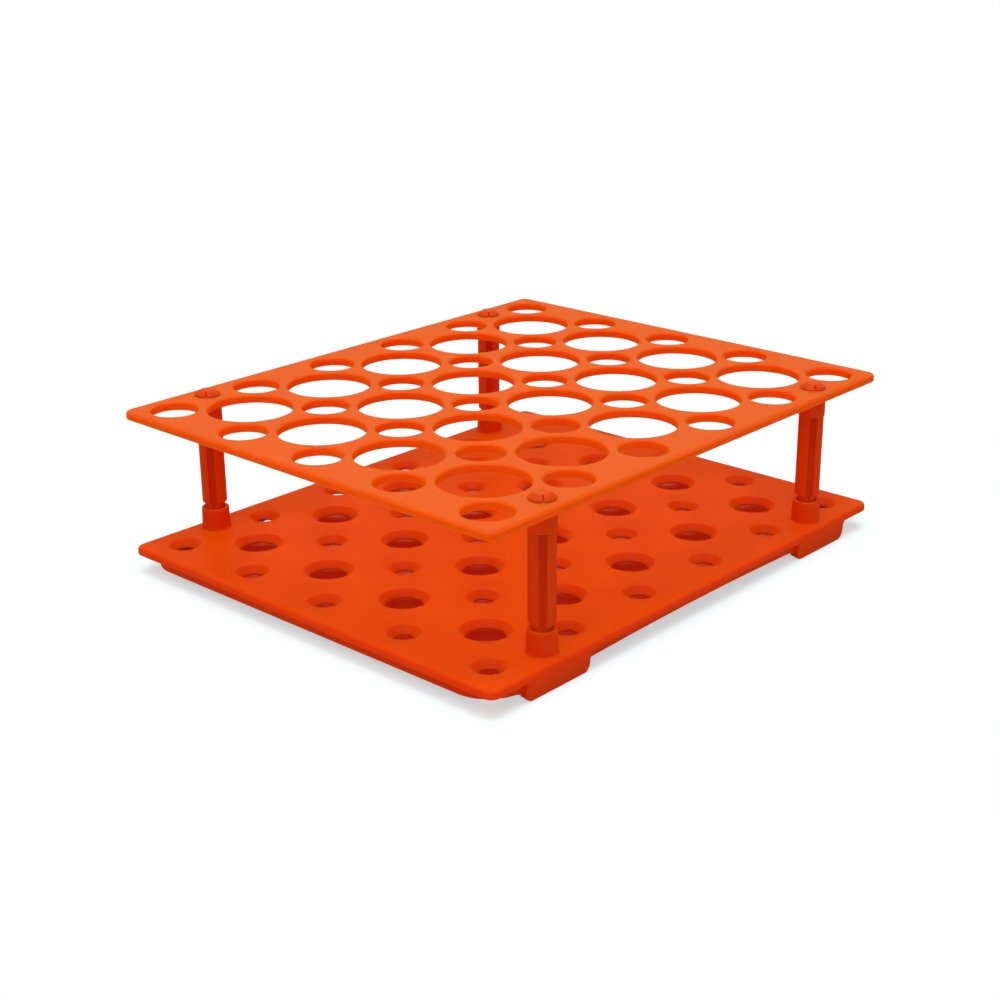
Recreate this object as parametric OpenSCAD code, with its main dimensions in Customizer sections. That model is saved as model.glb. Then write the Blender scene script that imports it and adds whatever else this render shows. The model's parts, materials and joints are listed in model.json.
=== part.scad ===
// Two-tier rack for 50 conical centrifuge tubes: a top plate with wells, a footed base plate with
// tapered tip seats below the same wells, and four snap-in posts between them.
// Units are millimetres. The origin is on the floor, midway between the feet. +Z is up, the long
// side of the plates runs along X, and the front is -Y.

/* [Plates] */
// Length of both plates
plate_l = 208; // [206:0.5:240]
// Width of both plates
plate_w = 171.5; // [169.5:0.5:200]
// Thickness of the top plate
top_t = 3; // [2.6:0.1:5]
// Thickness of the base plate
base_t = 3; // [2.6:0.1:5]
// Radius of the plates' corners, seen from above
corner_r = 3.5; // [2:0.5:8]
// Rounding along the top and bottom edges of both plates
edge_r = 1.2; // [0.4:0.1:1.2]
// Clear height between the plates
tier_gap = 47; // [36:1:80]

/* [Wells] */
// Distance between neighbouring wells of one size, both ways
pitch = 36.5; // [36:0.1:37]
// Small wells along X
small_cols = 6; // [2:1:6]
// Small wells along Y
small_rows = 5; // [2:1:5]
// Bore of the large wells, for 50 ml tubes
large_d = 29.8; // [28:0.1:30.6]
// Bore of the small wells, for 15 ml tubes
small_d = 16.4; // [15:0.1:17.4]
// Chamfer at the upper rim of every well in the top plate
well_chamfer = 0.35; // [0.1:0.05:0.5]
// Large tip seats in the base plate, at the top
large_seat_d = 17.2; // [16:0.1:20]
// Large tip seats in the base plate, at the bottom
large_tip_d = 12.9; // [10:0.1:15]
// Small tip seats in the base plate, at the top
small_seat_d = 11.4; // [10:0.1:13]
// Small tip seats in the base plate, at the bottom
small_tip_d = 6.7; // [5:0.1:9]
// Height of the straight land at the bottom of each tip seat
seat_land = 0.6; // [0.3:0.1:1]

/* [Feet and skirt] */
// Height of the feet below the base plate
foot_h = 7; // [5:0.5:20]
// Length of each foot along X
foot_l = 29.5; // [24:0.5:32]
// Depth of each foot in from the edge of the plate
foot_w = 2.8; // [2.6:0.1:4]
// Lean of the feet's front faces, inwards down to the floor
foot_lean = 0.8; // [0.2:0.1:1]
// Radius of the feet's lower corners, seen from the front
foot_r = 3; // [1.5:0.1:3]
// Break along the feet's other edges
foot_edge = 0.4; // [0.2:0.1:0.5]
// Height of the skirt below the base plate
skirt_h = 3.6; // [2:0.1:4.2]
// Wall of the skirt
skirt_wall = 2; // [1.2:0.1:3]
// Distance of the skirt in from the edge of the plate
skirt_inset = 2.3; // [1.6:0.1:2.8]
// Radius of the skirt's corners, seen from above
skirt_r = 14; // [8:1:18]
// Rise of the shallow arch in the skirt's lower edge, along each long side
skirt_arch = 0.9; // [0.4:0.1:1.8]
// Radius with which the skirt starts to run down behind a foot
foot_fillet = 5; // [3:0.5:8]
// Height of the skirt's lower edge behind a foot
foot_lift = 0.9; // [0.5:0.1:1]

/* [Sockets] */
// Distance of the posts in from the long edges
post_inset = 7.75; // [7:0.25:9]
// Height of the sockets above the base plate
socket_h = 8; // [5:0.5:14]
// Outer diameter of a socket at its rim
socket_d = 9.7; // [9.2:0.1:11]
// Outer diameter of a socket where it meets the plate
socket_base_d = 10.2; // [9.8:0.1:12]
// Thickness of the floor under a post's neck
socket_floor = 1.5; // [1:0.1:2.5]
// Flare where a socket meets the plate
socket_flare = 0.6; // [0.3:0.1:1]
// Lead-in chamfer at the mouth of a socket
socket_lead = 0.4; // [0.2:0.1:0.6]
// Height of the socket boss's end above the floor on which the rack stands
boss_lift = 1.5; // [0.5:0.1:2.5]

/* [Posts] */
// Diameter of a post's shaft
post_d = 8.8; // [8:0.1:9.2]
// Diameter of the collar under the top plate
collar_d = 9.3; // [9.2:0.1:10.5]
// Height of the collar
collar_h = 7; // [3:0.5:14]
// Diameter of the neck in the socket, and of the stem through the top plate
neck_d = 6.6; // [6:0.1:7]
// Length of neck that shows between the shaft and the socket
neck_show = 1.8; // [0.5:0.1:4]
// Chamfer at the lower end of the neck
neck_chamfer = 0.4; // [0.2:0.1:0.6]
// Chamfer at the lower end of the shaft
shaft_chamfer = 0.6; // [0.2:0.1:0.8]
// Width of the two grooves along the shaft
groove_w = 1.8; // [1:0.1:2.4]
// Depth of those grooves
groove_depth = 1; // [0.4:0.1:1]
// Diameter of the snap head above the top plate
head_d = 9; // [7.8:0.1:9.2]
// Height of the snap head
head_h = 1.8; // [1.2:0.1:2.5]
// Diameter of the flat on the snap head
head_flat_d = 4.4; // [2.5:0.1:5]
// Broken edge around the foot and the flat of the snap head
head_edge = 0.25; // [0.1:0.05:0.4]
// Width of the two notches in the snap head, in line with the grooves
notch_w = 0.7; // [0.4:0.1:1.4]
// Radial clearance of neck and stem in their holes
fit = 0.05; // [0.02:0.01:0.15]
// Gap between the snap head and the top plate
head_gap = 0.1; // [0.05:0.05:0.3]

/* [Hidden] */
$fn = 96;
eps = 0.01;

base_z = foot_h;                        // underside of the base plate
base_top = base_z + base_t;
top_z = base_top + tier_gap;            // underside of the top plate
top_face = top_z + top_t;
post_x = 2 * pitch;
post_y = plate_w / 2 - post_inset;
skirt_z = base_z - skirt_h;
socket_top = base_top + socket_h;
bore_r = neck_d / 2 + fit;
bore_z = boss_lift + socket_floor;      // a post's neck stands here
shaft_z = socket_top + neck_show;
collar_z = top_z - collar_h;
head_z = top_face + head_gap;
groove_angle = 45;                      // grooves and notches lie on one diagonal
groove_top = collar_z - 0.2;            // the grooves stop just short of the collar
foot_top = foot_h + base_t / 2;         // a foot runs this far up into the plate
dip_half = foot_l / 2 - 0.3;            // the skirt's dip stays just inside the foot's ends

// Right half of the skirt's dip behind a foot, from the foot's middle outwards: an ogee up to the
// skirt's lower edge.
dip_sweep = acos(1 - min(skirt_z / (foot_r + foot_fillet), 1));
dip_start = acos(1 - foot_lift / foot_r);
dip_reach = dip_half - foot_r + (foot_r + foot_fillet) * sin(dip_sweep);
dip = concat([[0, foot_lift]],
    [for (k = [0 : 4]) let (a = dip_start + (dip_sweep - dip_start) * k / 4)
        [dip_half - foot_r + foot_r * sin(a), foot_r * (1 - cos(a))]],
    [for (k = [0 : 7]) let (a = dip_sweep * (1 - k / 8))
        [dip_reach - foot_fillet * sin(a), skirt_z - foot_fillet * (1 - cos(a))]]);
arch_half = post_x - dip_reach;

// Centres of the small wells, and of the large wells between them.
small_wells = [for (i = [0 : small_cols - 1], j = [0 : small_rows - 1])
    [(i - (small_cols - 1) / 2) * pitch, (j - (small_rows - 1) / 2) * pitch]];
large_wells = [for (i = [0 : small_cols - 2], j = [0 : small_rows - 2])
    [(i - (small_cols - 2) / 2) * pitch, (j - (small_rows - 2) / 2) * pitch]];
posts = [for (sx = [-1, 1], sy = [-1, 1]) [sx * post_x, sy * post_y]];

PLATE_TOP = [0.965, 0.365, 0.150];
PLATE_BASE = [0.910, 0.290, 0.085];
POST = [0.790, 0.190, 0.020];

// ---------------------------------------------------------------- helpers

// Rectangle with round corners, centred.
module round_rect(l, w, r) {
    square([l, w - 2 * r], center = true);
    square([l - 2 * r, w], center = true);
    for (sx = [-1, 1], sy = [-1, 1])
        translate([sx * (l / 2 - r), sy * (w / 2 - r)]) circle(r = r);
}

// Flat plate with round corners and rounded edges, standing on z = 0.
module plate(l, w, t, rc, re) {
    translate([0, 0, t / 2]) {
        rotate([90, 0, 90])
            linear_extrude(l - 2 * rc, center = true) round_rect(w, t, re);
        rotate([90, 0, 0])
            linear_extrude(w - 2 * rc, center = true) round_rect(l, t, re);
        for (sx = [-1, 1], sy = [-1, 1])
            translate([sx * (l / 2 - rc), sy * (w / 2 - rc), 0])
                rotate_extrude() intersection() {
                    round_rect(2 * rc, t, re);
                    translate([0, -t]) square([rc + 1, 2 * t]);
                }
    }
}

module at(points) {
    for (p = points) translate([p[0], p[1], 0]) children();
}

// ---------------------------------------------------------------- top plate

module well_bore(d) {
    translate([0, 0, top_z - 1]) cylinder(d = d, h = top_t + 2);
    translate([0, 0, top_face - well_chamfer])
        cylinder(d1 = d, d2 = d + 2 * (well_chamfer + 1), h = well_chamfer + 1);
}

module top_plate() {
    color(PLATE_TOP) difference() {
        translate([0, 0, top_z]) plate(plate_l, plate_w, top_t, corner_r, edge_r);
        at(large_wells) well_bore(large_d);
        at(small_wells) well_bore(small_d);
        at(posts) translate([0, 0, top_z - 1]) cylinder(r = bore_r, h = top_t + 2);
    }
}

// ---------------------------------------------------------------- base plate

// Tapered seat through the base plate for the tip of a tube, with a short straight land at its bottom.
module tip_seat(d_top, d_tip) {
    slope = (d_top - d_tip) / 2 / (base_t - seat_land);
    rotate_extrude() polygon([
        [0, base_z - 1], [d_tip / 2, base_z - 1], [d_tip / 2, base_z + seat_land],
        [d_top / 2 + slope * 0.5, base_top + 0.5], [0, base_top + 0.5]]);
}

// Wall around the underside, set in from the edge, with wide corners. Seen from the front, its lower
// edge dips behind each foot and rises in a shallow arch between them.
module skirt() {
    l = plate_l - 2 * skirt_inset;
    w = plate_w - 2 * skirt_inset;
    lower_half = concat(
        [for (k = [0 : 12]) [k / 12 * arch_half, skirt_z + skirt_arch * (1 - pow(k / 12, 2))]],
        [for (k = [len(dip) - 1 : -1 : 1]) [post_x - dip[k][0], dip[k][1]]],
        [for (p = dip) [post_x + p[0], p[1]]],
        [[post_x + dip_reach, skirt_z], [plate_l / 2, skirt_z]]);
    n = len(lower_half) - 1;
    intersection() {
        linear_extrude(base_z + eps) difference() {
            round_rect(l, w, skirt_r);
            round_rect(l - 2 * skirt_wall, w - 2 * skirt_wall, skirt_r - skirt_wall);
        }
        rotate([90, 0, 0]) linear_extrude(plate_w, center = true) polygon(concat(
            [[plate_l / 2, base_z + 1], [-plate_l / 2, base_z + 1]],
            [for (k = [n : -1 : 1]) [-lower_half[k][0], lower_half[k][1]]],
            lower_half));
    }
}

// One foot, a bar along the front edge. Three profiles cross: its plan with broken corners, its front
// with round lower corners, and its end with the leaning face.
module foot_bar() {
    translate([0, -plate_w / 2, 0]) intersection() {
        translate([0, foot_w / 2, 0]) linear_extrude(foot_top) round_rect(foot_l, foot_w, foot_edge);
        translate([0, 0, foot_h]) rotate([90, 0, 0])
            linear_extrude(2 * foot_w + 2, center = true) round_rect(foot_l, 2 * foot_h, foot_r);
        rotate([90, 0, 90]) linear_extrude(foot_l + 2, center = true) polygon([
            [0, foot_top], [foot_lean * (1 - foot_edge / foot_top), foot_edge],
            [foot_lean + foot_edge, 0], [foot_w - foot_edge, 0], [foot_w, foot_edge],
            [foot_w, foot_top]]);
    }
}

module base_solid() {
    translate([0, 0, base_z]) plate(plate_l, plate_w, base_t, corner_r, edge_r);
    skirt();
    for (sx = [-1, 1], m = [0, 1]) mirror([0, m, 0]) translate([sx * post_x, 0, 0]) foot_bar();
    at(posts) {
        translate([0, 0, boss_lift]) cylinder(d = socket_base_d, h = base_top - boss_lift);
        translate([0, 0, base_top - eps])
            cylinder(d1 = socket_base_d, d2 = socket_d, h = socket_h + eps);
        translate([0, 0, base_top - eps])
            cylinder(d1 = socket_base_d + 2 * socket_flare, d2 = socket_base_d, h = socket_flare + eps);
    }
}

module base_plate() {
    color(PLATE_BASE) difference() {
        base_solid();
        at(large_wells) tip_seat(large_seat_d, large_tip_d);
        at(small_wells) tip_seat(small_seat_d, small_tip_d);
        at(posts) {
            translate([0, 0, bore_z]) cylinder(r = bore_r, h = socket_top);
            translate([0, 0, socket_top - socket_lead])
                cylinder(r1 = bore_r, r2 = bore_r + 2.5 * socket_lead, h = 2.5 * socket_lead);
        }
    }
}

// ---------------------------------------------------------------- posts

// One post on the z axis: neck, grooved shaft, collar, stem and notched snap head.
module post() {
    color(POST) difference() {
        rotate_extrude() polygon([
            [0, bore_z], [neck_d / 2 - neck_chamfer, bore_z], [neck_d / 2, bore_z + neck_chamfer],
            [neck_d / 2, shaft_z], [post_d / 2 - shaft_chamfer, shaft_z],
            [post_d / 2, shaft_z + shaft_chamfer],
            [post_d / 2, collar_z], [collar_d / 2, collar_z + (collar_d - post_d) / 2],
            [collar_d / 2, top_z], [neck_d / 2, top_z],
            [neck_d / 2, head_z], [head_d / 2 - head_edge, head_z],
            [head_d / 2, head_z + head_edge],
            [head_flat_d / 2 + head_edge, head_z + head_h - head_edge / 2],
            [head_flat_d / 2, head_z + head_h],
            [0, head_z + head_h]]);
        rotate([0, 0, groove_angle]) {
            for (s = [0, 180]) rotate([0, 0, s]) {
                translate([post_d / 2 - groove_depth, -groove_w / 2, shaft_z - 1])
                    cube([groove_depth + 1, groove_w, groove_top - shaft_z + 1]);
                translate([post_d / 2 - groove_depth, -notch_w / 2, head_z - 1])
                    cube([head_d, notch_w, head_h + 2]);
            }
        }
    }
}

module post_front_left() { translate([-post_x, -post_y, 0]) post(); }
module post_front_right() { translate([post_x, -post_y, 0]) post(); }
module post_back_left() { translate([-post_x, post_y, 0]) post(); }
module post_back_right() { translate([post_x, post_y, 0]) post(); }

base_plate();
top_plate();
post_front_left();
post_front_right();
post_back_left();
post_back_right();
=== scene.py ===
"""Looks of a two-tier rack for centrifuge tubes: satin orange mouldings on a white table."""

import json
import math

import bmesh
import bpy
from mathutils import Matrix, Vector


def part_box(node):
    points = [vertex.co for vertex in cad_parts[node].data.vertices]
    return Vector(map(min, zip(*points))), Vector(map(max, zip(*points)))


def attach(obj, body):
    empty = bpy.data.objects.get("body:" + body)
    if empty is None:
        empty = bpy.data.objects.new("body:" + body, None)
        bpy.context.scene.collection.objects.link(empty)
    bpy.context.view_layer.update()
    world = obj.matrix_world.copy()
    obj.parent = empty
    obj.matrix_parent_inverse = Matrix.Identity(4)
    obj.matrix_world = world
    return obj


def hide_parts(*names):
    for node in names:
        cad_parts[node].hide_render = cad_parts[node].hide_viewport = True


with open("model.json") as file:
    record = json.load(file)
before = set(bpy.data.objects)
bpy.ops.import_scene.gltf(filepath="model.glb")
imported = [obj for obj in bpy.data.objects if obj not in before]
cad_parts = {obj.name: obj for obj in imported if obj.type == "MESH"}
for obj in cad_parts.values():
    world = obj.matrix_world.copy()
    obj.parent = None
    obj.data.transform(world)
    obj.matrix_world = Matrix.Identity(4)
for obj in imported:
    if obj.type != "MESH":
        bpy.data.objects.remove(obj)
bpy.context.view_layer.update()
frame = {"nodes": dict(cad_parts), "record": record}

MM = 0.001
SAME_PLACE = 1e-7                          # metres; points of a form this close are one


# ---------------------------------------------------------------- sizes, in millimetres

def node_box(node):
    """Lowest and highest corner of a CAD node."""
    return [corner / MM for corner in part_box(node)]


def mount(name):
    """The record's row of a mount."""
    return next(row for row in frame["record"]["mounts"] if row["name"] == name)


def radius_of(name):
    """Radius of the bore that a mount states."""
    return mount(name)["dims"]["r_mm"]


def place_of(name):
    return Vector(mount(name)["pos_m"]) / MM


TOP_LOW, TOP_HIGH = node_box("top_plate")
POSTS = {name: node_box(name) for name in frame["nodes"] if name.startswith("post_")}

# Plates
LENGTH, WIDTH = TOP_HIGH.x - TOP_LOW.x, TOP_HIGH.y - TOP_LOW.y
TOP_Z, TOP_FACE = TOP_LOW.z, TOP_HIGH.z
PLATE = TOP_FACE - TOP_Z                   # both plates are this thick
BASE_Z = 7.0                               # underside of the base plate
BASE_TOP = BASE_Z + PLATE
CORNER = 3.5                               # plan corners of the plates
TOP_EDGE = (1.2, 0.7)                      # upper and lower rounding of the top plate's edge
BASE_EDGE = (1.3, 0.35)                    # the same on the base plate
BORDER = 0.25                              # flat ring beside the round of an edge or a fillet
LAND = 0.4                                 # the same beside the round of a rim

# Wells in the top plate, and tip seats in the base plate
COLUMNS, ROWS = 6, 5                       # of the small wells; the large ones lie between
PITCH = place_of("small_well_2a").x - place_of("small_well_1a").x
LARGE, SMALL = radius_of("large_well_1a"), radius_of("small_well_1a")
LARGE_TIP, SMALL_TIP = radius_of("large_seat_1a"), radius_of("small_seat_1a")
LARGE_SEAT, SMALL_SEAT = 8.6, 5.7          # radii of the seats at the top of the base plate
TIP_LAND, TIP_BEND = 0.6, 0.2              # straight wall below the taper, and the bend between
WELL_RIM = (0.8, 0.3)                      # upper and lower rounding of a well
SEAT_RIM = (0.45, 0.15)                    # the same on a seat
SIDES = 64                                 # of a turned form
LARGE_SIDES, LARGE_SEAT_SIDES, HOLE_SIDES = 96, 80, 48         # the ones that differ

# Posts, which all stand on one rectangle
POST_X = (POSTS["post_front_right"][0].x + POSTS["post_front_right"][1].x) / 2
POST_Y = (POSTS["post_back_right"][0].y + POSTS["post_back_right"][1].y) / 2
NECK, SHAFT, COLLAR, HEAD = 3.3, 4.4, 4.65, 4.5     # radii of a post
NECK_SHOW = 1.8                            # neck seen between socket and shaft
COLLAR_HEIGHT = 7.0
OVERLAP = 0.3                              # how far the forms of a post run into each other
SHAFT_CHAMFER, COLLAR_CHAMFER, NECK_ROUND = 0.6, 0.3, 0.4     # at their lower ends
HEAD_GAP, HEAD_BRIM, HEAD_FLAT = 0.1, 0.3, 2.2      # clearance, upright rim, radius of the flat top
GROOVE, GROOVE_FLOOR = 1.2, 3.4            # half width, and distance of the floor from the axis
NOTCH, NOTCH_FLOOR = 0.35, 2.9             # the same for the notches in the head
GROOVE_TURN = 45                           # grooves and notches lie on this diagonal, in degrees

# Sockets for the posts, holes for their stems, and bosses under the sockets
SOCKET_TOP = node_box("base_plate")[1].z
BORE = NECK + 0.05
BORE_FLOOR, BOSS_LOW = 3.0, 1.5
SOCKET, SOCKET_FOOT = 4.85, 5.1            # outer radii at the lip and at the plate
SOCKET_LIP, SOCKET_FILLET = 0.35, 0.7
LEAD_IN = (0.3, 0.4)                       # width and depth of the funnel at a socket's mouth
HOLE_ROUND, BOSS_ROUND = 0.2, 0.3

# Feet and skirt
FOOT_LENGTH, FOOT_DEPTH, FOOT_LEAN = 29.5, 2.8, 0.8
FOOT_CORNER, FOOT_EDGE, FOOT_END = 3.0, 0.5, 0.45   # lower corners, lower edges, plan corners
SKIRT_HEIGHT, SKIRT_WALL, SKIRT_INSET, SKIRT_CORNER = 3.6, 2.0, 2.3, 14.0
SKIRT_EDGE, SKIRT_ARCH = 0.4, 0.9          # lower edges, and rise between the feet
DIP_LIFT, DIP_INSET = 0.9, 0.3             # skirt behind a foot: above the floor, inside its end
DIP_ROUND = 5.0                            # upper round of the ogee that ends a dip
SUNK = 0.5                                 # how far joined forms run into the plate


# ---------------------------------------------------------------- outlines and forms

def rounded(corners, closed=False, turn=15):
    """The outline through (x, y, radius) corners, each turned with a round of that radius."""
    points = []
    for i, (x, y, radius) in enumerate(corners):
        here = Vector((x, y))
        if radius == 0 or (not closed and i in (0, len(corners) - 1)):
            points.append(here)
            continue
        to_last = (Vector(corners[i - 1][:2]) - here).normalized()
        to_next = (Vector(corners[(i + 1) % len(corners)][:2]) - here).normalized()
        half = to_last.angle(to_next) / 2
        centre = here + (to_last + to_next).normalized() * radius / math.sin(half)
        first = here + to_last * radius / math.tan(half) - centre
        last = here + to_next * radius / math.tan(half) - centre
        sweep = math.atan2(first.cross(last), first.dot(last))
        steps = max(1, round(abs(math.degrees(sweep)) / turn))
        points += [centre + Matrix.Rotation(sweep * k / steps, 2) @ first for k in range(steps + 1)]
    return points


def plan(length, width, corner, inset=0.0, at=(0.0, 0.0), turn=10):
    """A rectangle with round corners, drawn in by inset, round the point at."""
    x, y, r = length / 2 - inset, width / 2 - inset, corner - inset
    outline = rounded([(x, -y, r), (x, y, r), (-x, y, r), (-x, -y, r)], True, turn)
    return [point + Vector(at) for point in outline]


def raised(outline, z):
    """An outline at a height, in metres."""
    return [Vector((p.x, p.y, z)) * MM for p in outline]


def lofted(loops, closed=False, capped=False):
    """A mesh through loops of points. closed joins the last loop to the first, and capped
    closes the ends. A loop of one point is a pole."""
    made = bmesh.new()
    rows = [[made.verts.new(p) for p in loop] for loop in loops]
    pairs = list(zip(rows, rows[1:])) + ([(rows[-1], rows[0])] if closed else [])
    for low, high in pairs:
        count = max(len(low), len(high))
        for i in range(count):
            j = (i + 1) % count
            corners = [low[i % len(low)], low[j % len(low)], high[j % len(high)], high[i % len(high)]]
            made.faces.new(list(dict.fromkeys(corners)))
    if capped:
        made.faces.new(rows[0][::-1])
        made.faces.new(rows[-1])
    return made


def turned(profile, sides, at=(0.0, 0.0)):
    """A form turned on a lathe: profile is (radius, z) points, and the axis stands at a point."""
    loops = []
    for radius, z in profile:
        angles = [2 * math.pi * k / sides for k in range(sides)] if radius > 0 else [0.0]
        loops.append([Vector((at[0] + radius * math.cos(a), at[1] + radius * math.sin(a), z)) * MM
                      for a in angles])
    return lofted(loops)


def as_object(name, *forms):
    """One object from several bmesh forms."""
    whole = bpy.data.meshes.new(name)
    made = bmesh.new()
    for form in forms:
        form.to_mesh(whole)
        made.from_mesh(whole)
        form.free()
    made.to_mesh(whole)
    made.free()
    obj = bpy.data.objects.new(name, whole)
    bpy.context.scene.collection.objects.link(obj)
    return obj


def turned_out(obj):
    """Merges doubles and points the faces of a closed form outwards."""
    form = bmesh.new()
    form.from_mesh(obj.data)
    bmesh.ops.remove_doubles(form, verts=form.verts, dist=SAME_PLACE)
    bmesh.ops.recalc_face_normals(form, faces=form.faces)
    form.to_mesh(obj.data)
    form.free()
    return obj


def settled(obj):
    """Makes what an object's modifiers give its own mesh."""
    evaluated = obj.evaluated_get(bpy.context.evaluated_depsgraph_get())
    mesh = bpy.data.meshes.new_from_object(evaluated)
    obj.modifiers.clear()
    old, obj.data = obj.data, mesh
    mesh.name = obj.name
    bpy.data.meshes.remove(old)
    return obj


def joined(obj, *others):
    """Adds closed forms to an object, one at a time, so that one skin is left."""
    for other in others:
        union = obj.modifiers.new("union", "BOOLEAN")
        union.operation, union.solver, union.object = "UNION", "MANIFOLD", other
        settled(obj)
        bpy.data.objects.remove(other)
    return obj


def smoothed(obj, angle=35):
    """Shades an object smooth, apart from edges sharper than the angle."""
    obj.data.polygons.foreach_set("use_smooth", [True] * len(obj.data.polygons))
    obj.data.set_sharp_from_angle(angle=math.radians(angle))
    return obj


# ---------------------------------------------------------------- node trees

class Socket:
    """An output of a node, which takes part in expressions on numbers."""

    def __init__(self, graph, socket):
        self.graph, self.socket = graph, socket

    def _math(self, operation, *values):
        return self.graph.node("ShaderNodeMath", {"operation": operation}, dict(enumerate(values)))

    def __add__(self, other):
        return self._math("ADD", self, other)

    def __radd__(self, other):
        return self._math("ADD", other, self)

    def __sub__(self, other):
        return self._math("SUBTRACT", self, other)

    def __rsub__(self, other):
        return self._math("SUBTRACT", other, self)

    def __mul__(self, other):
        return self._math("MULTIPLY", self, other)

    def __rmul__(self, other):
        return self._math("MULTIPLY", other, self)


class Graph:
    """A node tree that is filled by one method."""

    def __init__(self, tree):
        self.tree = tree

    def node(self, kind, settings=None, values=None, out=0):
        """Adds a node, sets its settings, then fills its sockets. Returns one of its outputs."""
        made = self.tree.nodes.new(kind)
        for key, value in (settings or {}).items():
            setattr(made, key, value)
        for key, value in (values or {}).items():
            socket = made.inputs[key]
            for each in value if isinstance(value, list) else [value]:
                if isinstance(each, Socket):
                    self.tree.links.new(each.socket, socket)
                else:
                    socket.default_value = each
        return Socket(self, made.outputs[out]) if len(made.outputs) else None


SEAM = 1e-6                                # metres; a sheet and its rims are welded within this
PLATE_INPUTS = {
    "Band": "NodeSocketGeometry", "Large Rim": "NodeSocketObject", "Small Rim": "NodeSocketObject",
    "Pitch": "NodeSocketFloat", "Columns": "NodeSocketInt", "Rows": "NodeSocketInt",
    "Underside": "NodeSocketFloat", "Top": "NodeSocketFloat", "Plastic": "NodeSocketMaterial",
}


def punched_plate():
    """Geometry nodes that set rims on two crossed grids of wells and close the plate round them."""
    tree = bpy.data.node_groups.new("punched_plate", "GeometryNodeTree")
    for name, kind in PLATE_INPUTS.items():
        tree.interface.new_socket(name, in_out="INPUT", socket_type=kind)
    tree.interface.new_socket("Plate", in_out="OUTPUT", socket_type="NodeSocketGeometry")
    graph = Graph(tree)
    inputs = tree.nodes.new("NodeGroupInput")
    given = {name: Socket(graph, inputs.outputs[name]) for name in PLATE_INPUTS}

    def rims(rim, columns, rows):
        grid = graph.node("GeometryNodeMeshGrid", {}, {
            "Size X": (columns - 1) * given["Pitch"], "Size Y": (rows - 1) * given["Pitch"],
            "Vertices X": columns, "Vertices Y": rows})
        shape = graph.node("GeometryNodeObjectInfo", {}, {"Object": rim}, "Geometry")
        return graph.node("GeometryNodeInstanceOnPoints", {}, {"Points": grid, "Instance": shape})

    parts = graph.node("GeometryNodeJoinGeometry", {}, {"Geometry": [
        given["Band"], rims(given["Small Rim"], given["Columns"], given["Rows"]),
        rims(given["Large Rim"], given["Columns"] - 1, given["Rows"] - 1)]})
    walls = graph.node("GeometryNodeRealizeInstances", {}, {"Geometry": parts})
    faces = graph.node("GeometryNodeInputMeshEdgeNeighbors")
    open_edge = graph.node("FunctionNodeCompare", {"data_type": "INT", "operation": "EQUAL"},
                           {2: faces, 3: 1})
    height = graph.node("ShaderNodeSeparateXYZ", {}, {0: graph.node("GeometryNodeInputPosition")}, "Z")
    middle = (given["Underside"] + given["Top"]) * 0.5

    def sheet(operation, level):
        side = graph.node("FunctionNodeCompare", {"data_type": "FLOAT", "operation": operation},
                          {0: height, 1: middle})
        both = graph.node("FunctionNodeBooleanMath", {"operation": "AND"}, {0: open_edge, 1: side})
        rim_curves = graph.node("GeometryNodeMeshToCurve", {}, {"Mesh": walls, "Selection": both})
        fill = graph.node("GeometryNodeFillCurve", {"mode": "TRIANGLES"}, {"Curve": rim_curves})
        up = graph.node("ShaderNodeCombineXYZ", {}, {"Z": level})
        return graph.node("GeometryNodeTransform", {}, {"Geometry": fill, "Translation": up})

    skin = graph.node("GeometryNodeJoinGeometry", {}, {"Geometry": [
        walls, sheet("GREATER_THAN", given["Top"]), sheet("LESS_THAN", given["Underside"])]})
    skin = graph.node("GeometryNodeMergeByDistance", {}, {"Geometry": skin, "Distance": SEAM})
    skin = graph.node("GeometryNodeRealizeInstances", {}, {"Geometry": skin})
    skin = graph.node("GeometryNodeSetMaterial", {}, {"Geometry": skin, "Material": given["Plastic"]})
    graph.node("NodeGroupOutput", {}, {0: skin})
    return tree


def punched(band, large_rim, small_rim, underside, top, plastic):
    """The closed plate that the tree makes of its edge band and the rims of its two wells."""
    values = {"Large Rim": large_rim, "Small Rim": small_rim, "Pitch": PITCH * MM,
              "Columns": COLUMNS, "Rows": ROWS, "Underside": underside * MM, "Top": top * MM,
              "Plastic": plastic}
    maker = band.modifiers.new("wells", "NODES")
    maker.node_group = WELLS
    for item in WELLS.interface.items_tree:
        if item.name in values:
            maker[item.identifier] = values[item.name]
    settled(band)
    for rim in (large_rim, small_rim):
        bpy.data.objects.remove(rim)
    return turned_out(band)


# ---------------------------------------------------------------- the plates

def edge_band(low, high, upper, lower):
    """The rounded edge of a plate, with a narrow flat border on both faces."""
    inner = -(upper + BORDER)
    section = rounded([(inner, high, 0), (0, high, upper), (0, low, lower), (inner, low, 0)])
    return lofted([raised(plan(LENGTH, WIDTH, CORNER, -x), z) for x, z in section])


def well_rim(radius, sides):
    """Wall of a well in the top plate, with a rounded upper rim and a crisper lower one."""
    upper, lower = WELL_RIM
    return turned(rounded([
        (radius + upper + LAND, TOP_FACE, 0), (radius, TOP_FACE, upper),
        (radius, TOP_Z, lower), (radius + lower + LAND, TOP_Z, 0)], turn=18), sides)


def seat_rim(seat, tip, sides):
    """Tapered wall of a tip seat in the base plate, down to its short straight land."""
    upper, lower = SEAT_RIM
    return turned(rounded([
        (seat + upper + LAND, BASE_TOP, 0), (seat, BASE_TOP, upper),
        (tip, BASE_Z + TIP_LAND, TIP_BEND), (tip, BASE_Z, lower),
        (tip + lower + LAND, BASE_Z, 0)], turn=12), sides)


def post_places():
    return [(x, y) for x in (-POST_X, POST_X) for y in (-POST_Y, POST_Y)]


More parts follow.
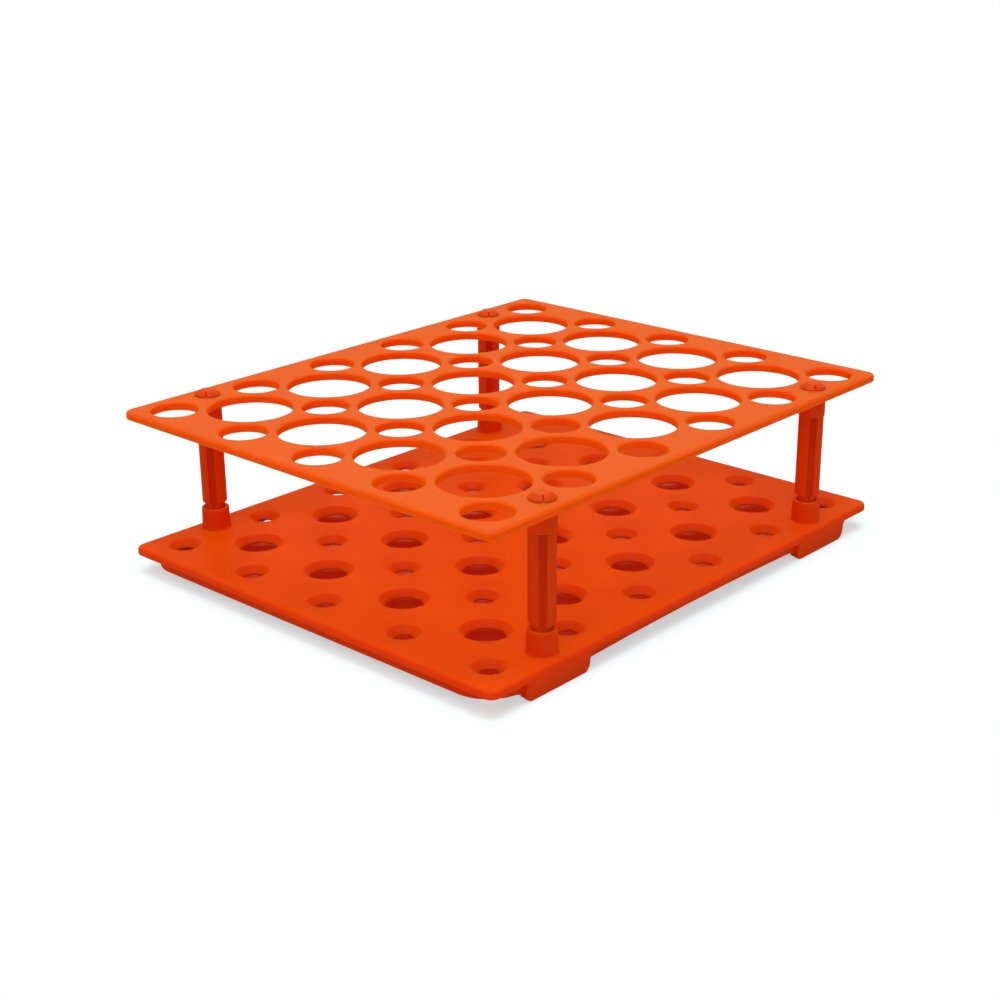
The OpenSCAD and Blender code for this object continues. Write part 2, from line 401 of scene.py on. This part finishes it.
def post_hole(at):
    """Wall of a hole in the top plate for the stem of a post."""
    outer = BORE + HOLE_ROUND + LAND
    return turned(rounded([
        (outer, TOP_FACE, 0), (BORE, TOP_FACE, HOLE_ROUND),
        (BORE, TOP_Z, HOLE_ROUND), (outer, TOP_Z, 0)], turn=30), HOLE_SIDES, at)


def top_plate():
    """The flat plate with its wells and the holes for the posts."""
    holes = [post_hole(at) for at in post_places()]
    band = as_object("well_plate", edge_band(TOP_Z, TOP_FACE, *TOP_EDGE), *holes)
    large = as_object("large_rim", well_rim(LARGE, LARGE_SIDES))
    small = as_object("small_rim", well_rim(SMALL, SIDES))
    return punched(band, large, small, TOP_Z, TOP_FACE, TOP_PLASTIC)


def post_socket(at):
    """A post socket: fillet, tapered wall, rounded lip, funnel, and the bore down to its floor."""
    wide, deep = LEAD_IN
    return turned(rounded([
        (SOCKET_FOOT + SOCKET_FILLET + BORDER, BASE_TOP, 0), (SOCKET_FOOT, BASE_TOP, SOCKET_FILLET),
        (SOCKET, SOCKET_TOP, SOCKET_LIP), (BORE + wide, SOCKET_TOP, 0.15),
        (BORE, SOCKET_TOP - deep, 0.1), (BORE, BORE_FLOOR, 0.3), (0, BORE_FLOOR, 0)]), SIDES, at)


def socket_boss(at):
    """The boss under a socket, inside the foot."""
    return turned(rounded([
        (SOCKET_FOOT + BOSS_ROUND + LAND, BASE_Z, 0), (SOCKET_FOOT, BASE_Z, BOSS_ROUND),
        (SOCKET_FOOT, BOSS_LOW, BOSS_ROUND), (0, BOSS_LOW, 0)], turn=30), SIDES, at)


def foot(x, side):
    """A foot: a bar along the plate's long edge, with round lower corners and a leaning front.
    side is -1 at the front edge and 1 at the back one."""
    steps = 10
    top = BASE_Z + PLATE / 2               # the foot runs half way into the plate
    angles = [math.pi / 2 * k / steps for k in range(steps + 1)]
    levels = [(FOOT_CORNER * (1 - math.sin(a)), FOOT_CORNER * (1 - math.cos(a))) for a in angles]
    loops = []
    for inset, z in levels + [(0.0, top)]:
        short = max(0.0, FOOT_EDGE - z)
        turn_in = FOOT_EDGE - math.sqrt(FOOT_EDGE ** 2 - short ** 2)
        outer = WIDTH / 2 - FOOT_LEAN * (1 - z / top) - turn_in
        inner = WIDTH / 2 - FOOT_DEPTH + turn_in
        middle = (x, side * (outer + inner) / 2)
        outline = plan(FOOT_LENGTH - 2 * inset, outer - inner, FOOT_END, at=middle, turn=15)
        loops.append(raised(outline, z))
    return lofted(loops, capped=True)


def dip():
    """Right half of the skirt's dip behind a foot, as (distance from its middle, height) points:
    level, then an ogee up to the skirt's lower edge."""
    lower_steps, upper_steps = 4, 8
    high, both = BASE_Z - SKIRT_HEIGHT, FOOT_CORNER + DIP_ROUND
    start, sweep = math.acos(1 - DIP_LIFT / FOOT_CORNER), math.acos(1 - high / both)
    near = FOOT_LENGTH / 2 - DIP_INSET - FOOT_CORNER
    far = near + both * math.sin(sweep)
    points = [(0.0, DIP_LIFT)]
    for k in range(lower_steps + 1):
        a = start + (sweep - start) * k / lower_steps
        points.append((near + FOOT_CORNER * math.sin(a), FOOT_CORNER * (1 - math.cos(a))))
    for k in range(upper_steps + 1):
        a = sweep * (1 - k / upper_steps)
        points.append((far - DIP_ROUND * math.sin(a), high - DIP_ROUND * (1 - math.cos(a))))
    return points


def skirt():
    """The wall round the underside, with wide corners. Its lower edge dips behind each foot and
    rises in a shallow arch between them."""
    arch_steps, corner_steps = 20, 16
    half = SKIRT_WALL / 2
    middle = SKIRT_INSET + half
    x, y, r = LENGTH / 2 - middle, WIDTH / 2 - middle, SKIRT_CORNER - half
    high, reach = BASE_Z - SKIRT_HEIGHT, POST_X - dip()[-1][0]
    shares = [k / arch_steps for k in range(arch_steps)]
    edge = [(reach * share, high + SKIRT_ARCH * (1 - share ** 2)) for share in shares]
    edge += [(POST_X - off, z) for off, z in dip()[:0:-1]]
    edge += [(POST_X + off, z) for off, z in dip()]
    edge = [(-px, z) for px, z in edge[:0:-1]] + edge
    # The path holds the middle of the wall, the way out, and the height of the lower edge. It runs
    # along the front and round both right corners, and then half a turn repeats it.
    path = []
    for px, z in edge:
        a = math.copysign(math.asin(max(0.0, abs(px) - (x - r)) / r), px)
        path.append((Vector((px, r - y - r * math.cos(a))), Vector((math.sin(a), -math.cos(a))), z))
    for k in range(1, corner_steps + 1):
        turned_by = a + (math.pi / 2 - a) * k / corner_steps
        out = Vector((math.sin(turned_by), -math.cos(turned_by)))
        path.append((Vector((x - r, r - y)) + out * r, out, high))
    path += [(Vector((p.x, -p.y)), Vector((out.x, -out.y)), high)
             for p, out, _ in path[:-corner_steps - 1:-1]]
    path += [(-p, -out, z) for p, out, z in path]
    section = rounded([(-half, BASE_Z + SUNK, 0), (-half, 0, SKIRT_EDGE),
                       (half, 0, SKIRT_EDGE), (half, BASE_Z + SUNK, 0)])
    rows = [[Vector((*(point + out * s), z if z > BASE_Z else z + low)) * MM for s, z in section]
            for point, out, low in path]
    return lofted(rows, closed=True)


def base_plate():
    """The lower plate with its tip seats, sockets, bosses, feet and skirt, as one moulding."""
    sockets = [form(at) for at in post_places() for form in (post_socket, socket_boss)]
    band = as_object("footed_plate", edge_band(BASE_Z, BASE_TOP, *BASE_EDGE), *sockets)
    large = as_object("large_seat", seat_rim(LARGE_SEAT, LARGE_TIP, LARGE_SEAT_SIDES))
    small = as_object("small_seat", seat_rim(SMALL_SEAT, SMALL_TIP, SIDES))
    plate = punched(band, large, small, BASE_Z, BASE_TOP, BASE_PLASTIC)
    feet = [foot(x, side) for x in (-POST_X, POST_X) for side in (-1, 1)]
    below = [turned_out(as_object("below", form)) for form in [skirt()] + feet]
    return joined(plate, *below)


# ---------------------------------------------------------------- the posts

def grooved(radius, half_width, floor, soft=0.0):
    """Section of a round bar with a groove on either side. floor is the distance of the grooves'
    floors from the axis, and soft rounds their edges. Where the bar is too thin to reach the
    floor, a trace of each groove is kept, so that all sections have the same points."""
    steps, trace = 30, 0.03
    lip = math.asin(half_width / radius)
    edge = radius * math.cos(lip)
    floor = min(floor, edge - trace)
    half = [(floor, -half_width, soft), (floor, half_width, soft), (edge, half_width, soft)]
    for k in range(1, steps):
        a = lip + (math.pi - 2 * lip) * k / steps
        half.append((radius * math.cos(a), radius * math.sin(a), 0))
    half.append((-edge, half_width, soft))
    return rounded(half + [(-x, -y, r) for x, y, r in half], True, 25)


def post(name, at):
    """A post: neck in its socket, grooved shaft, collar, stem and notched snap head. The name is
    its CAD node's, and it is made on the Z axis and then set on its place. The first and last
    points of shaft and head lie in their flat ends."""
    shaft_low, collar_low = SOCKET_TOP + NECK_SHOW, TOP_Z - COLLAR_HEIGHT
    head_low, head_high = TOP_FACE + HEAD_GAP, POSTS[name][1].z
    core = turned(rounded([
        (0, BORE_FLOOR, 0), (NECK, BORE_FLOOR, NECK_ROUND), (NECK, head_low + OVERLAP, 0),
        (0, head_low + OVERLAP, 0)]), SIDES)
    shaft = rounded([
        (SHAFT - SHAFT_CHAMFER, shaft_low, 0), (SHAFT, shaft_low + SHAFT_CHAMFER, 0.3),
        (SHAFT, collar_low + OVERLAP, 0)])
    shaft = [raised(grooved(r, GROOVE, GROOVE_FLOOR, soft=0.1), z) for r, z in shaft]
    collar = turned(rounded([
        (0, collar_low, 0), (SHAFT, collar_low, 0), (COLLAR, collar_low + COLLAR_CHAMFER, 0.12),
        (COLLAR, TOP_Z, 0.15), (0, TOP_Z, 0)]), SIDES)
    head = rounded([
        (HEAD - 0.6, head_low, 0), (HEAD, head_low, 0.12), (HEAD, head_low + HEAD_BRIM, 0.15),
        (HEAD_FLAT + 0.15, head_high, 0.35), (HEAD_FLAT - 0.8, head_high, 0)])
    head = [raised(grooved(r, NOTCH, NOTCH_FLOOR), z) for r, z in head]
    forms = [core, lofted(shaft, capped=True), collar, lofted(head, capped=True)]
    forms = [turned_out(as_object(name + "_form", form)) for form in forms]
    forms[0].name = "grooved_" + name
    whole = joined(*forms)
    set_down = Matrix.Translation((at[0] * MM, at[1] * MM, 0))
    whole.data.transform(set_down @ Matrix.Rotation(math.radians(GROOVE_TURN), 4, "Z"))
    return whole


# ---------------------------------------------------------------- materials

def new_material(name):
    """An empty material and the graph that fills it."""
    material = bpy.data.materials.new(name)
    material.use_nodes = True
    material.node_tree.nodes.clear()
    return material, Graph(material.node_tree)


def rgba(red, green, blue):
    return (red, green, blue, 1.0)


def part_of(graph, vector, axis):
    """One of the three numbers of a vector."""
    return graph.node("ShaderNodeSeparateXYZ", {}, {0: vector}, axis)


def rising(graph, value, start, end):
    """0 up to start, then smoothly up to 1 at end."""
    return graph.node("ShaderNodeMapRange", {"interpolation_type": "SMOOTHSTEP"}, {
        "Value": value, "From Min": start, "From Max": end}, "Result")


def moulded_plastic(name, colour, deep, roughness, gloss, glow, reach, groove=None):
    """Satin polypropylene with a little colour drift, soft gloss drift and a fine moulded grain. Its
    colour is painted by facing: colour where it faces up, duller and less saturated as a painted
    sheen, and deep on upright faces, brighter and redder as painted light. Light spreads reach
    millimetres inside it. groove is painted shade: it deepens the shafts of the posts below their
    collars, most of all in their grooves, and the cones of their heads."""
    material, graph = new_material(name)
    place = graph.node("ShaderNodeTexCoord", {}, {}, "Object")
    normal = graph.node("ShaderNodeTexCoord", {}, {}, "Normal")

    def noise(scale, detail=2.0):
        return graph.node("ShaderNodeTexNoise", {}, {
            "Vector": place, "Scale": scale, "Detail": detail}, "Fac")

    colour_drift = (noise(28.0, 3.0) - 0.5) * 0.3
    gloss_drift = (noise(60.0) - 0.5) * 0.05
    grain, ripple = noise(2600.0, 3.0), noise(120.0)

    # Painted light and shade by facing: faces that point up take colour, a painted sheen, and upright
    # faces take deep, painted light.
    up = part_of(graph, normal, "Z")
    tone_with_painted_light_and_shade = graph.node("ShaderNodeMix", {"data_type": "RGBA"}, {
        "Factor": rising(graph, up, 0.3, 0.96) * 0.95 + colour_drift, 6: deep, 7: colour}, 2)
    if groove:
        collar_low, plate_top = (TOP_Z - COLLAR_HEIGHT) * MM, TOP_FACE * MM
        height = part_of(graph, place, "Z")
        shaft = 1.0 - rising(graph, height, collar_low - 0.2 * MM, collar_low)
        above = rising(graph, height, plate_top, plate_top + 0.05 * MM)
        cone_shade_mask = above * (1.0 - rising(graph, up, 0.88, 0.97))
        # The floors of the grooves face along a diagonal, where the square of this sum is 2.
        across = part_of(graph, normal, "X") + part_of(graph, normal, "Y")
        groove_shade_mask = rising(graph, across * across, 1.87, 1.93)
        # Painted shade on the posts: a quarter of groove on the shafts below the collars, all of it in
        # the grooves, and a little under half on the cones of the heads.
        tone_with_painted_light_and_shade = graph.node("ShaderNodeMix", {"data_type": "RGBA"}, {
            "Factor": (groove_shade_mask * 0.75 + 0.25) * shaft + cone_shade_mask * 0.45, 6: tone_with_painted_light_and_shade, 7: groove}, 2)

    bump = graph.node("ShaderNodeBump", {}, {
        "Height": grain * 0.3 + ripple, "Strength": 0.18, "Distance": 0.04 * MM})
    surface = graph.node("ShaderNodeBsdfPrincipled", {}, {
        "Base Color": tone_with_painted_light_and_shade, "Roughness": 0.6, "Normal": bump, "Specular IOR Level": 0.0,
        "Coat Weight": gloss + gloss_drift, "Coat Roughness": roughness,
        "Subsurface Weight": glow, "Subsurface Radius": (1.0, 0.28, 0.05),
        "Subsurface Scale": reach * MM})
    graph.node("ShaderNodeOutputMaterial", {}, {"Surface": surface})
    return material


# ---------------------------------------------------------------- stage

TABLE_SIZE = 8                             # metres
# The ground's corners and shift are those of the painted shade under the rack and of the pale band
# round it.
GROUND_CORNER, GROUND_SHIFT = 30, 4        # millimetres: round corners, and shift right and back
ROOM_LIGHT = 0.25


def seen_ray(graph):
    """1 for rays from the camera, gloss and glass, and 0 for the rest."""
    camera_ray, gloss_ray, glass_ray = [
        graph.node("ShaderNodeLightPath", {}, {}, name)
        for name in ("Is Camera Ray", "Is Glossy Ray", "Is Transmission Ray")]
    return graph.node("ShaderNodeMath", {"operation": "ADD", "use_clamp": True},
                      {0: camera_ray, 1: gloss_ray + glass_ray})


def white_room():
    """White all round for the camera and for gloss, and a dim even light for the rest."""
    world = bpy.data.worlds.new("white_room")
    bpy.context.scene.world = world
    world.use_nodes = True
    world.node_tree.nodes.clear()
    graph = Graph(world.node_tree)
    light = graph.node("ShaderNodeBackground", {}, {"Color": rgba(1, 1, 1), "Strength": ROOM_LIGHT})
    white = graph.node("ShaderNodeBackground", {}, {"Color": rgba(1, 1, 1), "Strength": 1.0})
    mixed = graph.node("ShaderNodeMixShader", {}, {0: seen_ray(graph), 1: light, 2: white})
    graph.node("ShaderNodeOutputWorld", {}, {"Surface": mixed})


def table():
    """A white table top that runs out of sight and keeps the shadow. Below the rack it is painted
    with shade and a red glow of painted bounce light, and round it the table is pale before it
    turns white."""
    bpy.ops.mesh.primitive_plane_add(size=TABLE_SIZE)
    floor = bpy.context.object
    floor.name = "table"
    material, graph = new_material("white_table")
    place = graph.node("ShaderNodeTexCoord", {}, {}, "Object")
    corner = GROUND_CORNER * MM

    def beyond(axis, half):
        """How far a place lies beyond the straight part of a side, and 0 between its ends."""
        along = part_of(graph, place, axis) - GROUND_SHIFT * MM
        off = graph.node("ShaderNodeMath", {"operation": "ABSOLUTE"}, {0: along}) - (half * MM - corner)
        return graph.node("ShaderNodeMath", {"operation": "MAXIMUM"}, {0: off, 1: 0.0})

    x, y = beyond("X", LENGTH / 2), beyond("Y", WIDTH / 2)
    outside = graph.node("ShaderNodeMath", {"operation": "SQRT"}, {0: x * x + y * y}) - corner

    def from_edge(start, end):
        """0 up to one distance from the rack's outline, outwards, and 1 from the other on."""
        return rising(graph, outside, start * MM, end * MM)

    def lit(colour, glow):
        """A dull surface that also gives off a little light."""
        surface = graph.node("ShaderNodeBsdfDiffuse", {}, {"Color": colour})
        light = graph.node("ShaderNodeEmission", {}, {"Color": glow})
        return graph.node("ShaderNodeAddShader", {}, {0: surface, 1: light})

    # Painted shade under the rack, dark red, with a painted red glow that stands in for light thrown
    # back by the plastic.
    painted_shade_and_bounce = lit(rgba(0.62, 0.20, 0.15), rgba(0.30, 0.006, 0.0))
    pale = lit(rgba(0.50, 0.62, 0.63), rgba(0.52, 0.55, 0.555))
    white = graph.node("ShaderNodeEmission", {}, {"Color": rgba(1, 1, 1)})
    dull = graph.node("ShaderNodeBsdfDiffuse", {}, {"Color": rgba(0.72, 0.72, 0.73)})
    ground = graph.node("ShaderNodeMixShader", {}, {0: from_edge(-14, -4), 1: painted_shade_and_bounce, 2: pale})
    ground = graph.node("ShaderNodeMixShader", {}, {0: from_edge(25, 140), 1: ground, 2: white})
    seen = graph.node("ShaderNodeMixShader", {}, {0: seen_ray(graph), 1: dull, 2: ground})
    graph.node("ShaderNodeOutputMaterial", {}, {"Surface": seen})
    floor.data.materials.append(material)


def softbox(name, place, target, size, power):
    """A square lamp at a place, turned towards a target; metres and watts."""
    lamp = bpy.data.lights.new(name, "AREA")
    lamp.shape, lamp.size, lamp.energy = "SQUARE", size, power
    obj = bpy.data.objects.new(name, lamp)
    obj.location = place
    obj.rotation_euler = (Vector(target) - Vector(place)).to_track_quat("-Z", "Y").to_euler()
    bpy.context.scene.collection.objects.link(obj)


def camera():
    """Looks down at the near corner from the front left."""
    azimuth, elevation, roll = [math.radians(angle) for angle in (-47.58, 20.832, -0.442)]
    distance, target = 0.531472, Vector((-0.063108, -0.052093, 0.050))
    level = math.cos(elevation)
    back = Vector((math.sin(azimuth) * level, -math.cos(azimuth) * level, math.sin(elevation)))
    lens = bpy.data.cameras.new("camera")
    lens.sensor_width, lens.lens = 36.0, 61.66
    lens.clip_start, lens.clip_end = 0.01, 50.0
    eye = bpy.data.objects.new("camera", lens)
    eye.matrix_world = (Matrix.Translation(target + back * distance)
                        @ (-back).to_track_quat("-Z", "Y").to_matrix().to_4x4()
                        @ Matrix.Rotation(roll, 4, "Z"))
    bpy.context.scene.collection.objects.link(eye)
    bpy.context.scene.camera = eye


# ---------------------------------------------------------------- the rack

camera()
white_room()
table()
softbox("overhead", (-0.08, -0.06, 1.15), (0, 0, 0.03), 0.9, 10.8)
softbox("left", (-0.7, -0.4, 0.8), (-0.05, -0.05, 0.03), 0.6, 2.4)
bpy.context.scene.view_settings.view_transform = "Standard"

# Each plastic's first colour is for faces that point up and its second for upright ones: painted light
# and shade by facing. The posts' last colour, groove, is painted shade.
TOP_PLASTIC = moulded_plastic(
    "top_plastic", rgba(0.66, 0.088, 0.009), rgba(0.98, 0.104, 0.001),
    roughness=0.35, gloss=0.12, glow=0.9, reach=6)
BASE_PLASTIC = moulded_plastic(
    "base_plastic", rgba(0.83, 0.071, 0.001), rgba(0.90, 0.052, 0.001),
    roughness=0.38, gloss=0.10, glow=0.8, reach=4)
POST_PLASTIC = moulded_plastic(
    "post_plastic", rgba(0.66, 0.080, 0.008), rgba(0.84, 0.062, 0.001),
    roughness=0.30, gloss=0.08, glow=0.5, reach=4, groove=rgba(0.68, 0.034, 0.001))
WELLS = punched_plate()

pieces = [(top_plate(), "top_plate", "top_plastic", TOP_PLASTIC),
          (base_plate(), "base_plate", "base_plastic", BASE_PLASTIC)]
for post_name, (low, high) in POSTS.items():
    made = post(post_name, ((low.x + high.x) / 2, (low.y + high.y) / 2))
    pieces.append((made, post_name, "post_plastic", POST_PLASTIC))
for piece, node, slot, material in pieces:
    smoothed(piece)
    piece.data.materials.clear()
    piece.data.materials.append(material)
    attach(piece, "root")
    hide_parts(node)
